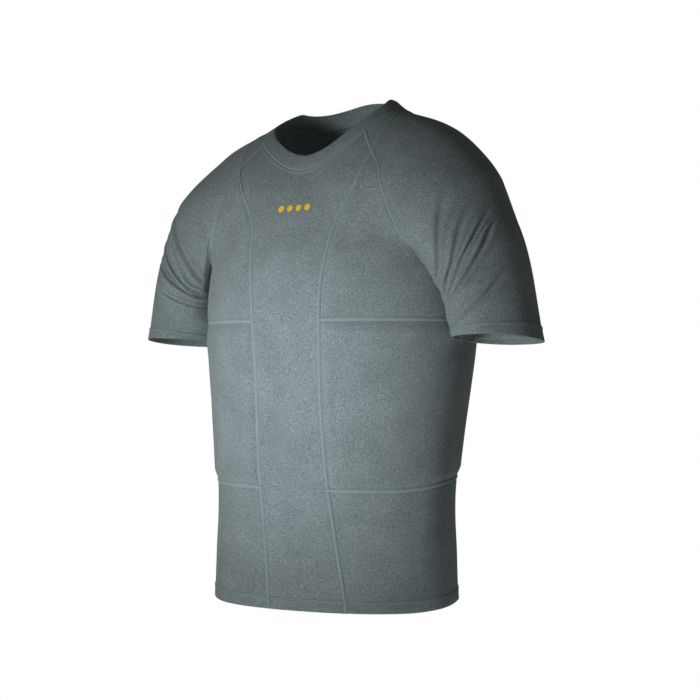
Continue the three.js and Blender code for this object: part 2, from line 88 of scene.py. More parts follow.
ARM_COLUMNS = ("share", "x", "y", "drop", "across", "deep")
ARM = (
    (0.0, 130, -8, 98, 66, 72),
    (0.3, 182, -23, 140, 67, 76),
    (0.6, 223, -22, 205, 62, 72),
    (1.0, 252, -23, 302, 54, 65),
    (1.2, 264, -24, 350, 54, 65),
)
SHOULDER_BLEND = 34.0
UNDERARM_BLEND = 8.0
BLEND_FADE_FROM = 100.0
BLEND_FADE_TO = 210.0

# Turn of the hips towards the wearer's left: drop and degrees
TURN = ((-60, 0), (300, 0), (400, 1), (495, 4), (580, 9), (657, 13), (720, 15))

NECK_FRONT_DROP = 76.0
NECK_BACK_DROP = -16.0
COLLAR_HEIGHT = 20.0
COLLAR_THICK = 2.0

RAGLAN_FRONT_START = 48.0
RAGLAN_BACK_START = 132.0
UNDERARM = (93, 236)
RAGLAN_FRONT = ((54, 82), (60, 137), (68, 186), (78, 220))
RAGLAN_BACK = ((128, 82), (122, 137), (114, 186), (105, 220))
PRINCESS_SHARE = 2 / 12
PRINCESS = (
    (31, 140), (24, 200), (22, 240), (21.5, 276),
    (22, 380), (24, 495), (25.5, 590), (27, 654),
)
SIDE_SEAM = ((103, 276), (113, 340), (117, 410), (118, 495), (118, 654))
CHEST_SEAM_DROP = 276.0
RIB_SEAM_DROP = 495.0
HEM_DROP = 654.0
SIDE_RISE = ((276, 0), (495, 14), (654, 8))
SIDE_RISE_ANGLES = (55.0, 110.0)

ARMHOLE_RING = (0.5, 0.76)
CUFF_RING = (1.055, 0.945)
CUFF_FRONT_LIFT = 5.0
SIDE_CLEARANCE = 4.0
ARMHOLE_SHARE = 12 / 22
SLEEVE_GIRTH = 370.0


# The form that the cloth lies on
def ease(value):
    t = np.clip(value, 0, 1)
    return t * t * (3 - 2 * t)


def mix(a, b, share):
    return a + (b - a) * share


def read(table, column, place):
    """Smooth value of a table's column at places in its first column"""
    rows = np.asarray(table, float)
    x, y = rows[:, 0], rows[:, column]
    before = np.maximum(np.arange(len(x)) - 1, 0)
    after = np.minimum(np.arange(len(x)) + 1, len(x) - 1)
    slope = (y[after] - y[before]) / (x[after] - x[before])
    at = np.clip(place, x[0], x[-1])
    i = np.clip(np.searchsorted(x, at) - 1, 0, len(x) - 2)
    h = x[i + 1] - x[i]
    t = (at - x[i]) / h
    start = (2 * t**3 - 3 * t**2 + 1) * y[i] + (t**3 - 2 * t**2 + t) * h * slope[i]
    return start + (3 * t**2 - 2 * t**3) * y[i + 1] + (t**3 - t**2) * h * slope[i + 1]


def torso(name, drop):
    return read(TORSO, TORSO_COLUMNS.index(name), drop)


def arm(name, share):
    return read(ARM, ARM_COLUMNS.index(name), share)


def stack(x, y, z):
    return np.stack(np.broadcast_arrays(x, y, z), -1)


def outside_torso(p):
    """Distance outside the filled body, negative within"""
    drop = -p[..., 2]
    turn = np.radians(read(TURN, 1, drop))
    ahead = p[..., 1] - torso("middle_y", drop)
    x = p[..., 0] * np.cos(turn) + ahead * np.sin(turn)
    y = ahead * np.cos(turn) - p[..., 0] * np.sin(turn)
    depth = np.where(y < 0, torso("front", drop), torso("back", drop))
    wide = (np.abs(x) / torso("half_width", drop)) ** TORSO_SQUARENESS
    g = (wide + (np.abs(y) / depth) ** TORSO_SQUARENESS + 1e-12) ** (1 / TORSO_SQUARENESS)
    return (g - 1) * np.sqrt(x * x + y * y + 1) / g


def unit(v):
    return v / np.maximum(np.linalg.norm(v, axis=-1, keepdims=True), 1e-9)


def arm_centre(share):
    return stack(arm("x", share), arm("y", share), -arm("drop", share))


def arm_frame(share):
    share = np.asarray(share, float)
    along = unit(arm_centre(share + 0.02) - arm_centre(share - 0.02))
    forward = unit(np.array([0.0, -1.0, 0.0]) + along * along[..., 1:2])
    out = unit(np.cross(along, forward))
    out = out * np.where(out[..., 0:1] < 0, -1, 1)
    return arm_centre(share), along, forward, out


ARM_STEPS = 40
ARM_SHARES = np.linspace(0.01, 1.19, ARM_STEPS + 1)
ARM_FRAMES = arm_frame(ARM_SHARES)
ARM_ACROSS = arm("across", ARM_SHARES)
ARM_DEEP = arm("deep", ARM_SHARES)


def outside_arm(p):
    """Distance outside the filled sleeve, negative within"""
    centre, along, forward, out = ARM_FRAMES
    q = p.reshape(-1, 3) * 1.0
    q[:, 0] = np.abs(q[:, 0])
    best = ((q[:, None, :] - centre[None]) ** 2).sum(2).argmin(1)

    def from_frame(i):
        v = q - centre[i]
        ahead = (v * along[i]).sum(1)
        beyond = np.where((i == 0) | (i == ARM_STEPS), ahead, 0)
        deep = (v * forward[i]).sum(1)
        across = np.hypot((v * out[i]).sum(1), beyond)
        g = np.sqrt((deep / ARM_DEEP[i]) ** 2 + (across / ARM_ACROSS[i]) ** 2 + 1e-12)
        return (g - 1) * np.hypot(deep, across) / g, ahead

    here, ahead = from_frame(best)
    beside = np.clip(best + np.sign(ahead).astype(int), 0, ARM_STEPS)
    there, behind = from_frame(beside)
    span = np.maximum(np.abs(ahead) + np.abs(behind), 1e-9)
    value = np.where(beside == best, here, mix(here, there, np.abs(ahead) / span))
    return value.reshape(p.shape[:-1])


TORSO_SCALE = 0.75


def outside(p):
    """Distance outside the whole filled shirt, the shoulders blended into the body"""
    a = outside_torso(p) * TORSO_SCALE
    b = outside_arm(p)
    fade = np.clip((BLEND_FADE_TO + p[..., 2]) / (BLEND_FADE_TO - BLEND_FADE_FROM), 0, 1)
    k = mix(UNDERARM_BLEND, SHOULDER_BLEND, fade)
    low = np.minimum(a, b)
    return low - k * np.log(np.exp((low - a) / k) + np.exp((low - b) / k))


def slope_of(field, p):
    step = 0.5 * np.eye(3)
    return stack(*[field(p + step[k]) - field(p - step[k]) for k in range(3)])


def settle(field, p, steps=6, furthest=25.0):
    q = p.copy()
    for _ in range(steps):
        slope = slope_of(field, q)
        far = np.clip(field(q), -furthest, furthest)
        q = q - slope * (far / ((slope**2).sum(-1) + 1e-9))[..., None]
    return q


JOIN_FADE_FROM = 150.0
JOIN_FADE_TO = 214.0


def joined_share(drop):
    return 1 - ease((drop - JOIN_FADE_FROM) / (JOIN_FADE_TO - JOIN_FADE_FROM))


def body_place(angle, drop):
    """Places on the body at angles from the front and drops"""
    angle, drop = np.broadcast_arrays(np.asarray(angle, float), np.asarray(drop, float))
    turned = np.radians(angle + read(TURN, 1, drop))
    middle = torso("middle_y", drop)
    low = np.zeros(drop.shape)
    high = low + 260.0
    for _ in range(30):
        half = (low + high) / 2
        p = stack(half * np.sin(turned), middle - half * np.cos(turned), -drop)
        within = outside_torso(p) < 0
        low = np.where(within, half, low)
        high = np.where(within, high, half)
    plain = stack(low * np.sin(turned), middle - low * np.cos(turned), -drop)
    share = joined_share(drop)
    high_up = share > 0
    if high_up.any():
        upper = plain[high_up]
        plain[high_up] = mix(upper, settle(outside, upper), share[high_up][..., None])
    return plain


def neck_drop(angle):
    forward = np.cos(np.radians(angle))
    front = NECK_FRONT_DROP * np.maximum(forward, 0) ** 1.7
    return np.where(forward > 0, front, NECK_BACK_DROP * forward**2)


def seam_curve(rows):
    """Smooth curve through a seam's rows as a dense table of angles and drops"""
    points = np.array(rows, float)
    ends = [2 * points[0] - points[1]], [2 * points[-1] - points[-2]]
    p = np.concatenate([ends[0], points, ends[1]])
    dense = []
    for i in range(1, len(p) - 2):
        gaps = [np.linalg.norm(p[i + k] - p[i + k - 1]) ** 0.5 for k in (0, 1, 2)]
        leave = (p[i] - p[i - 1]) / gaps[0] - (p[i + 1] - p[i - 1]) / (gaps[0] + gaps[1])
        leave = (leave + (p[i + 1] - p[i]) / gaps[1]) * gaps[1]
        reach = (p[i + 1] - p[i]) / gaps[1] - (p[i + 2] - p[i]) / (gaps[1] + gaps[2])
        reach = (reach + (p[i + 2] - p[i + 1]) / gaps[2]) * gaps[1]
        t = np.linspace(0, 1, 41)[:, None]
        bend = -3 * p[i] + 3 * p[i + 1] - 2 * leave - reach
        twist = 2 * p[i] - 2 * p[i + 1] + leave + reach
        part = p[i] + leave * t + bend * t**2 + twist * t**3
        dense.append(part if i == 1 else part[1:])
    return np.concatenate(dense)


def on_curve(curve, share):
    at = np.clip(share, 0, 1) * (len(curve) - 1)
    steps = np.arange(len(curve))
    return np.interp(at, steps, curve[:, 0]), np.interp(at, steps, curve[:, 1])


def angle_at(curve, drop):
    return np.interp(drop, curve[:, 1], curve[:, 0])


def on_neckline(angle):
    return angle, neck_drop(angle)


RAGLAN_FRONT_SEAM = seam_curve((on_neckline(RAGLAN_FRONT_START), *RAGLAN_FRONT, UNDERARM))
RAGLAN_BACK_SEAM = seam_curve((on_neckline(RAGLAN_BACK_START), *RAGLAN_BACK, UNDERARM))
PRINCESS_TOP = [float(v) for v in on_curve(RAGLAN_FRONT_SEAM, PRINCESS_SHARE)]
PRINCESS_SEAM = seam_curve((PRINCESS_TOP, *PRINCESS))
SIDE_SEAM_LINE = seam_curve((UNDERARM, *SIDE_SEAM))


def body_level(angle, drop):
    """A level on the body, which rises towards the sides"""
    turned = np.minimum(np.abs(angle), 360 - np.abs(angle))
    start, end = SIDE_RISE_ANGLES
    return drop - read(SIDE_RISE, 1, drop) * ease((turned - start) / (end - start))


def body_cell(angle, drop):
    return body_place(angle, body_level(angle, drop))


def lean(p):
    """The shoulders stand a little lower on the wearer's right"""
    q = p.copy()
    q[..., 2] += q[..., 0] * SHOULDER_LEAN * ease((q[..., 2] + LEAN_REACH) / LEAN_REACH)
    return q


def arm_place(ring, turn):
    share = mix(ring[0], ring[1], (1 - np.cos(turn)) / 2)
    centre, _, forward, out = arm_frame(share)
    across = (np.cos(turn) * arm("across", share))[..., None]
    deep = (np.sin(turn) * arm("deep", share))[..., None]
    return centre + out * across + forward * deep


PRESS_STEPS = 14
PRESS_FORWARD = 0.35


def clear_of_body(p, clearance):
    q = p.copy()
    for _ in range(PRESS_STEPS):
        inside = clearance - outside_torso(q)
        push = slope_of(outside_torso, q)
        away = push * np.array([1, PRESS_FORWARD, 1])
        step = np.where(inside > 0, inside, 0) / np.maximum((away * push).sum(-1), 0.1)
        q = q + away * step[..., None]
    return q


UNDERARM_PLACE = body_place(*UNDERARM)


def around(round_share):
    return np.radians(180 - 360 * round_share)


def on_shoulder(round_share):
    return (1 - ease((np.abs(2 * round_share - 1) - 0.5) / 0.3))[..., None]


def armhole_place(round_share):
    plain = clear_of_body(arm_place(ARMHOLE_RING, around(round_share)), SIDE_CLEARANCE)
    joined = mix(plain, settle(outside, plain), on_shoulder(round_share))
    low = ease((np.abs(2 * round_share - 1) - 0.7) / 0.3)[..., None]
    return mix(joined, UNDERARM_PLACE, low)


def shoulder_place(down, round_share):
    """Between the neckline, the two raglan seams and the armhole ring, settled on the shoulder"""
    neck_angle = mix(RAGLAN_FRONT_START, RAGLAN_BACK_START, round_share)
    neck = body_place(neck_angle, neck_drop(neck_angle) + SEAM_GAP / 2)
    front = body_place(*on_curve(RAGLAN_FRONT_SEAM, down))
    rear = body_place(*on_curve(RAGLAN_BACK_SEAM, down))
    front_top = body_place(*on_curve(RAGLAN_FRONT_SEAM, 0.0))
    rear_top = body_place(*on_curve(RAGLAN_BACK_SEAM, 0.0))
    d, r = down[..., None], round_share[..., None]
    corners = mix(front_top, rear_top, r) * (1 - d) + UNDERARM_PLACE * d
    p = neck * (1 - d) + armhole_place(round_share) * d + front * (1 - r) + rear * r - corners
    edge = ease(np.minimum(round_share, 1 - round_share) / 0.12)
    weight = mix(joined_share(-p[..., 2]), 1, edge)[..., None]
    weight = weight * mix(1, on_shoulder(round_share), ease((down - 0.6) / 0.4)[..., None])
    return mix(p, settle(outside, p, 8, 60.0), weight)


def tube_place(down, round_share):
    turn = around(round_share)
    ring = [mix(a, b, down) for a, b in zip(ARMHOLE_RING, CUFF_RING)]
    plain = clear_of_body(arm_place(ring, turn), SIDE_CLEARANCE)
    plain[..., 2] += CUFF_FRONT_LIFT * np.sin(turn) * ease(down)
    bare = clear_of_body(arm_place(ARMHOLE_RING, turn), SIDE_CLEARANCE)
    return plain + (armhole_place(round_share) - bare) * (1 - ease(down / 0.5))[..., None]


CLEAR_FROM = 110.0
CLEAR_REACH = 50.0
CLEAR_EDGE = 0.034
CLEAR_BELOW = 0.09


def sleeve_place(down, round_share):
    """Places on the wearer's left sleeve, from the neckline (0) to the cuff (1)"""
    upper = down < ARMHOLE_SHARE
    p = np.empty(down.shape + (3,))
    if upper.any():
        p[upper] = shoulder_place(down[upper] / ARMHOLE_SHARE, round_share[upper])
    if (~upper).any():
        below = (down[~upper] - ARMHOLE_SHARE) / (1 - ARMHOLE_SHARE)
        p[~upper] = tube_place(below, round_share[~upper])
    inset = ease(np.minimum(round_share, 1 - round_share) / CLEAR_EDGE)
    inset = np.maximum(inset, ease((down - ARMHOLE_SHARE) / CLEAR_BELOW))
    beside = ease((-p[..., 2] - CLEAR_FROM) / CLEAR_REACH) * inset
    return clear_of_body(p, SIDE_CLEARANCE * beside - 50.0 * (beside == 0))


# Panels: places, angles and drops at shares down and across, from the wearer's right to the left
PANEL_ROWS = {"yoke": 2, "raglan": 12, "underarm": 2, "chest": 12, "rib": 10, "lower": 8}
NECK_DIP_REACH = 0.32
FULL_TURN = 360.0
PRINCESS_DROP = PRINCESS_TOP[1]


def drops_through(down, rows, drops):
    """Drops met one after another down an edge, each after its own number of rows"""
    shares = np.concatenate([[0], np.cumsum(rows)]) / sum(rows)
    return np.interp(down, shares, drops)


def front_edge(down):
    rows = [PANEL_ROWS[name] for name in ("yoke", "chest", "rib", "lower")]
    stops = (neck_drop(RAGLAN_FRONT_START), PRINCESS_DROP, CHEST_SEAM_DROP, RIB_SEAM_DROP, HEM_DROP)
    drop = drops_through(down, rows, stops)
    share = down * sum(rows) / PANEL_ROWS["raglan"]
    on_raglan = share < PRINCESS_SHARE
    raglan_angle, raglan_drop = on_curve(RAGLAN_FRONT_SEAM, share)
    angle = np.where(on_raglan, raglan_angle, angle_at(PRINCESS_SEAM, drop))
    return angle, np.where(on_raglan, raglan_drop, drop)


def back_edge(down):
    rows = [PANEL_ROWS[name] for name in ("raglan", "underarm", "rib", "lower")]
    stops = (UNDERARM[1] - 1, UNDERARM[1], CHEST_SEAM_DROP, RIB_SEAM_DROP, HEM_DROP)
    drop = drops_through(down, rows, stops)
    share = down * sum(rows) / PANEL_ROWS["raglan"]
    raglan_angle, raglan_drop = on_curve(RAGLAN_BACK_SEAM, share)
    angle = np.where(share < 1, raglan_angle, angle_at(SIDE_SEAM_LINE, drop))
    return angle, np.where(share < 1, raglan_drop, np.maximum(drop, UNDERARM[1]))


def chest_edge(down):
    share = PRINCESS_SHARE + down * PANEL_ROWS["chest"] / PANEL_ROWS["raglan"]
    raglan_angle, raglan_drop = on_curve(RAGLAN_FRONT_SEAM, share)
    beside_raglan = PANEL_ROWS["chest"] - PANEL_ROWS["underarm"]
    below = (down * PANEL_ROWS["chest"] - beside_raglan) / PANEL_ROWS["underarm"]
    drop = mix(UNDERARM[1], CHEST_SEAM_DROP, np.maximum(below, 0))
    angle = np.where(share < 1, raglan_angle, angle_at(SIDE_SEAM_LINE, drop))
    return angle, np.where(share < 1, raglan_drop, drop)


def princess_edge(down, top, low):
    drop = mix(top, low, down)
    return angle_at(PRINCESS_SEAM, drop), drop


def side_edge(down, top, low):
    drop = mix(top, low, down)
    return angle_at(SIDE_SEAM_LINE, drop), drop


def neck_dip(down, across, start, end):
    low = neck_drop(mix(start, end, across)) - neck_drop(start)
    return SEAM_GAP / 2 + low * (1 - ease(down / NECK_DIP_REACH))


def front_middle_panel(down, across):
    angle, drop = front_edge(down)
    dip = neck_dip(down, across, -RAGLAN_FRONT_START, RAGLAN_FRONT_START)
    return mix(-angle, angle, across), drop + dip


def back_panel(down, across):
    angle, drop = back_edge(down)
    dip = neck_dip(down, across, RAGLAN_BACK_START, FULL_TURN - RAGLAN_BACK_START)
    return mix(angle, FULL_TURN - angle, across), drop + dip


def side_panel(near, far, side):
    def panel(down, across):
        out = across if side > 0 else 1 - across
        near_angle, near_drop = near(down)
        far_angle, far_drop = far(down)
        return side * mix(near_angle, far_angle, out), mix(near_drop, far_drop, out)
    return panel


def chest_panel(side):
    return side_panel(lambda d: princess_edge(d, PRINCESS_DROP + SEAM_GAP, CHEST_SEAM_DROP), chest_edge, side)


def rib_panel(side):
    return side_panel(
        lambda d: princess_edge(d, CHEST_SEAM_DROP, RIB_SEAM_DROP),
        lambda d: side_edge(d, CHEST_SEAM_DROP, RIB_SEAM_DROP),
        side,
    )


def lower_panel(side):
    return side_panel(
        lambda d: princess_edge(d, RIB_SEAM_DROP, HEM_DROP),
        lambda d: side_edge(d, RIB_SEAM_DROP, HEM_DROP),
        side,
    )


# Relief of the cloth in millimetres
ROUND_MM = 2.7
FOLD_SAG = 4.0
# Folds of the body: from angle and drop, to angle and drop, width and depth
BODY_FOLDS = (
    (70, 176, 62, 205, 7, 1.6),
    (-70, 176, -62, 205, 7, 1.4),
    (86, 262, 62, 292, 10, 1.8),
    (-86, 262, -60, 296, 10, 1.6),
    (92, 292, 74, 352, 9, 1.5),
    (-92, 292, -78, 340, 9, 1.3),
    (118, 196, 134, 236, 12, 2.2),
    (-118, 196, -136, 230, 12, 2.0),
    (112, 238, 132, 292, 11, 1.8),
    (-112, 238, -130, 286, 11, 2.0),
    (146, 462, 196, 474, 13, 1.8),
    (168, 500, 222, 488, 12, 1.6),
    (140, 536, 186, 548, 12, 1.4),
    (150, 118, 158, 176, 14, 1.4),
    (-150, 118, -160, 172, 14, 1.4),
)
# Folds of a sleeve as shares down and round it, from the underarm outwards through a middle place
# to an end, each place as down and round, then width and depth
BACK_FOLDS = (
    (0.52, 0.93, 0.44, 0.84, 0.33, 0.76, 0.013, 2.6),
    (0.58, 0.92, 0.54, 0.80, 0.45, 0.70, 0.013, 2.4),
    (0.72, 0.91, 0.69, 0.80, 0.62, 0.68, 0.015, 2.2),
    (0.83, 0.90, 0.82, 0.80, 0.77, 0.72, 0.012, 1.4),
)
SLEEVE_FOLDS = {
    1: (
        (0.48, 0.12, 0.36, 0.27, 0.28, 0.385, 0.0105, 5.6),
        (0.62, 0.15, 0.48, 0.26, 0.35, 0.41, 0.0105, 5.6),
        (0.67, 0.17, 0.53, 0.31, 0.40, 0.44, 0.0095, 4.5),
        (0.71, 0.18, 0.61, 0.33, 0.50, 0.44, 0.0105, 5.2),
        (0.72, 0.20, 0.69, 0.27, 0.66, 0.35, 0.009, 3.1),
        (0.92, 0.14, 0.82, 0.29, 0.71, 0.41, 0.0105, 4.5),
        (0.32, 0.10, 0.36, 0.12, 0.42, 0.12, 0.010, 2.4),
        (0.80, 0.20, 0.77, 0.28, 0.74, 0.33, 0.009, 2.1),
        *BACK_FOLDS,
    ),
    -1: (
        (0.40, 0.10, 0.34, 0.30, 0.28, 0.43, 0.0105, 5.2),
        (0.46, 0.12, 0.47, 0.28, 0.37, 0.43, 0.0105, 5.6),
        (0.47, 0.09, 0.56, 0.23, 0.59, 0.40, 0.0100, 5.6),
        (0.43, 0.11, 0.41, 0.24, 0.33, 0.36, 0.009, 3.1),
        (0.60, 0.12, 0.66, 0.20, 0.68, 0.30, 0.010, 2.4),
        *BACK_FOLDS,
    ),
}
FOLD_BLUNT = 0.10
RIDGE_SHARE = 0.45
RIDGE_AWAY = 1.9
FOLD_PARTS = 16


def folds(table, x, y):
    """Soft troughs with a ridge on either side, bent and uneven along their length"""
    lift = np.zeros(x.shape)
    t = np.linspace(0, 1, FOLD_PARTS + 1)
    for from_x, from_y, via_x, via_y, to_x, to_y, width, depth in table:
        line_x = (1 - t) * (1 - 2 * t) * from_x + 4 * t * (1 - t) * via_x + t * (2 * t - 1) * to_x
        line_y = (1 - t) * (1 - 2 * t) * from_y + 4 * t * (1 - t) * via_y + t * (2 * t - 1) * to_y
        away = np.full(x.shape, 1e9)
        kept = np.zeros(x.shape)
        for k in range(FOLD_PARTS):
            run_x, run_y = line_x[k + 1] - line_x[k], line_y[k + 1] - line_y[k]
            along = ((x - line_x[k]) * run_x + (y - line_y[k]) * run_y) / (run_x**2 + run_y**2)
            along = np.clip(along, 0, 1)
            far = np.hypot(x - line_x[k] - along * run_x, y - line_y[k] - along * run_y) / width
            kept = np.where(far < away, (k + along) / FOLD_PARTS, kept)
            away = np.minimum(far, away)
        taper = np.sin(np.pi * mix(FOLD_BLUNT, 1, kept)) * (1 + 0.2 * np.sin(9 * kept + 90 * width))
        lift += depth * taper * (RIDGE_SHARE * np.exp(-((away - RIDGE_AWAY) ** 2)) - np.exp(-(away**2)))
    return lift


def unevenness(p):
    """The slight waviness of hand-set cloth"""
    x, y, z = p[..., 0], p[..., 1], p[..., 2]
    slow = np.sin(x / 31 + z / 47) * np.sin(z / 39 - y / 27 + 1.3)
    quick = np.sin(x / 13 - z / 17 + 0.7) * np.sin(y / 11 + z / 23)
    return 0.35 * slow + 0.12 * quick


PUCKER_STEP = 10.0
PUCKER_REACH = 7.0
PUCKER_RISE = 0.3
TUCK = 0.9
TUCK_REACH = 4.0
LOWER_TUCK = 1.4
PAD_EDGE = 16.0
PAD_CROWN = 1.2
SLEEVE_EDGE = 14.0
SLEEVE_LENGTH = 330.0
CUFF_STITCH = 0.945


def beside_seam(away, along):
    """The cloth dips at a seam and puckers a little beside it"""
    wave = np.sin(2 * np.pi * along / PUCKER_STEP + 1.9 * np.sin(along / 27))
    return PUCKER_RISE * wave * np.exp(-away / PUCKER_REACH) - TUCK * np.exp(-((away / TUCK_REACH) ** 2))


HEM_FOLD = 14.0
TURN_UP_RISE = 0.6


def body_relief(angle, drop, p):
    turned = (angle + 180) % FULL_TURN - 180
    rows = [(a * ROUND_MM, d, (a + b) / 2 * ROUND_MM, (d + e) / 2 + FOLD_SAG, b * ROUND_MM, e, w, h)
            for a, d, b, e, w, h in BODY_FOLDS]
    around = np.where(turned < -165, turned + FULL_TURN, turned) * ROUND_MM
    lift = unevenness(p) + folds(rows, around, drop)
    return lift + TURN_UP_RISE * ease((drop - (HEM_DROP - HEM_FOLD)) / 2)


# Meshes
def numbers(items, name, width):
    values = np.empty(len(items) * width, np.float32)
    items.foreach_get(name, values)
    return values.reshape(-1, width).astype(float)


def set_places(mesh, p):
    mesh.vertices.foreach_set("co", (p * MM).astype(np.float32).ravel())
    mesh.update()


def cloth_grid(name, columns, rows, shape, lift, thickness, material, uv_size=None):
    """A piece as a grid laid on the form, lifted along its own outward direction, with an inner side"""
    bm = bmesh.new()
    bm.loops.layers.uv.new("UVMap")
    bmesh.ops.create_grid(bm, x_segments=columns, y_segments=rows, size=1.0, calc_uvs=True)
    mesh = bpy.data.meshes.new(name)
    bm.to_mesh(mesh)
    bm.free()
    flat = numbers(mesh.vertices, "co", 3)
    down, across = (1 - flat[:, 1]) / 2, (1 + flat[:, 0]) / 2
    p = shape(down, across)
    set_places(mesh, p)
    out = numbers(mesh.vertex_normals, "vector", 3)
    set_places(mesh, lean(p + out * lift(down, across, p)[:, None]))
    mesh.polygons.foreach_set("use_smooth", [True] * len(mesh.polygons))
    if uv_size:
        uv = numbers(mesh.uv_layers[0].data, "uv", 2) * np.array(uv_size)
        mesh.uv_layers[0].data.foreach_set("uv", uv.astype(np.float32).ravel())
    mesh.materials.append(material)
    obj = bpy.data.objects.new(name, mesh)
    bpy.context.scene.collection.objects.link(obj)
    if thickness:
        wall = obj.modifiers.new("wall", "SOLIDIFY")
        wall.thickness = thickness * MM
        wall.offset = -1
    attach(obj, "root")
    return obj


def body_piece(name, panel, columns, rows, size, pad, material):
    """One cut panel of the body; size is its width and length in millimetres"""
    width, length = size

    def shape(down, across):
        angle, drop = panel(down, across)
        return body_cell(angle, drop)

    def lift(down, across, p):
        angle, drop = panel(down, across)
        aside = np.minimum(across, 1 - across) * width
        above = np.minimum(down, 1 - down) * length
        rise = pad * ease(aside / PAD_EDGE) * ease(above / PAD_EDGE)
        seams = beside_seam(aside, down * length)
        if pad:
            seams = seams + beside_seam(above, across * width)
        if name.startswith("lower"):
            seams = seams + LOWER_TUCK * beside_seam(down * length, across * width)
        return body_relief(angle, drop, p) + rise + seams

    thickness = PAD_THICK if pad else CLOTH
    obj = cloth_grid(f"{name}_cloth", columns, rows, shape, lift, thickness, material)
    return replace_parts(obj, name) or obj


def sleeve_shape(side):
    def shape(down, across):
        p = sleeve_place(down, across if side > 0 else 1 - across)
        return p * np.array([side, 1, 1])
    return shape


def sleeve_piece(name, side, material):
    def lift(down, across, p):
        turn = across if side > 0 else 1 - across
        inset = np.minimum(turn, 1 - turn) * SLEEVE_GIRTH
        relief = unevenness(p) + folds(SLEEVE_FOLDS[side], down, turn)
        relief = relief * ease(inset / SLEEVE_EDGE) + beside_seam(inset, down * SLEEVE_LENGTH)
        return relief + TURN_UP_RISE * ease((down - CUFF_STITCH) / 0.01)

    obj = cloth_grid(f"{name}_cloth", 190, 150, sleeve_shape(side), lift, CLOTH, material)
    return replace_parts(obj, name) or obj


# Seams and stitching as raised bands along a line on the form
def body_line(angles, drops):
    """Places and outward directions along a line on the body"""
    level = body_level(angles, drops)
    p = body_place(angles, level)
    out = unit(slope_of(outside_torso, p))
    blended = unit(slope_of(outside, p))
    out = unit(mix(out, blended, joined_share(level)[..., None]))
    return p + out * body_relief(angles, drops, p)[:, None], out


def sleeve_line(side, downs, rounds):
    step = 0.004

    def at(down, turn):
        return sleeve_place(np.clip(down, 0, 1), np.clip(turn, 0, 1)) * np.array([side, 1, 1])

    p = at(downs, rounds)
    fall = at(downs + step, rounds) - at(downs - step, rounds)
    turn = at(downs, rounds + step) - at(downs, rounds - step)
    out = unit(np.cross(fall, turn))
    inset = np.minimum(rounds, 1 - rounds) * SLEEVE_GIRTH
    relief = (unevenness(p) + folds(SLEEVE_FOLDS[side], downs, rounds)) * ease(inset / SLEEVE_EDGE)
    return p + out * side * relief[:, None], out * side


BAND_COLUMNS = 10
BAND_SINK = 0.35
LINE_STEP = 2.0


def band(name, line, width, height, profile, material, inward=0.0, proud=0.0):
    """A raised band of stitches along a line of places and outward directions"""
    p, out = line
    far = np.concatenate([[0], np.cumsum(np.linalg.norm(np.diff(p, axis=0), axis=1))])
    rows = max(4, int(far[-1] / LINE_STEP))
    along = np.linspace(0, far[-1], rows + 1)
    p = np.stack([np.interp(along, far, p[:, k]) for k in range(3)], -1)
    out = unit(np.stack([np.interp(along, far, out[:, k]) for k in range(3)], -1))
    aside = unit(np.cross(out, np.gradient(p, axis=0)))
    p = p - out * inward

    facing = 1 if inward == 0 else -1

    def shape(down, across):
        i = np.clip(np.round(down * rows).astype(int), 0, rows)
        x = (2 * across - 1)[:, None]
        rise = height * profile(2 * across - 1)[:, None] - BAND_SINK + proud
        return p[i] + facing * (aside[i] * x * width / 2 + out[i] * rise)

    def level(down, across, places):
        return np.zeros(down.shape)

    return cloth_grid(name, BAND_COLUMNS, rows, shape, level, 0, material, (width, far[-1]))


def crowned(x):
    return 1.35 * (1 - x**2) ** 0.6


def twin(x):
    return 0.6 + np.exp(-(((x - 0.5) / 0.22) ** 2)) + np.exp(-(((x + 0.5) / 0.22) ** 2)) - 0.6 * x**8


# Colours and materials
def linear(hex_colour):
    """A hex sRGB colour as linear red, green, blue and alpha"""
    parts = [int(hex_colour[i:i + 2], 16) / 255 for i in (1, 3, 5)]
    return tuple(v / 12.92 if v <= 0.04045 else ((v + 0.055) / 1.055) ** 2.4 for v in parts) + (1.0,)


def new_material(name, roughness, sheen):
    material = bpy.data.materials.new(name)
    material.use_nodes = True
    shader = material.node_tree.nodes["Principled BSDF"]
    shader.inputs["Roughness"].default_value = roughness
    shader.inputs["Sheen Weight"].default_value = sheen
    shader.inputs["Specular IOR Level"].default_value = 0.3
    return material, shader


def add_node(material, kind, inputs=None, **settings):
    node = material.node_tree.nodes.new(kind)
    for key, value in settings.items():
        setattr(node, key, value)
    for key, value in (inputs or {}).items():
        if isinstance(value, bpy.types.NodeSocket):
            material.node_tree.links.new(value, node.inputs[key])
        else:
            node.inputs[key].default_value = value
    return node


def ramp(material, factor, stops):
    node = add_node(material, "ShaderNodeValToRGB", {"Fac": factor})
    points = node.color_ramp.elements
    while len(points) < len(stops):
        points.new(0.5)
    for point, (place, colour) in zip(points, stops):
        point.position = place
        point.color = linear(colour)
    return node.outputs["Color"]


# Noise cells in a metre: a fleck of mixed yarn is about 1 mm, a cloud 42 mm,
# a grain of the knit 0.9 mm and a grain of the print 1.4 mm
FLECKS_PER_METRE = 950.0
CLOUDS_PER_METRE = 24.0
KNIT_PER_METRE = 1100.0
PRINT_GRAIN_PER_METRE = 700.0


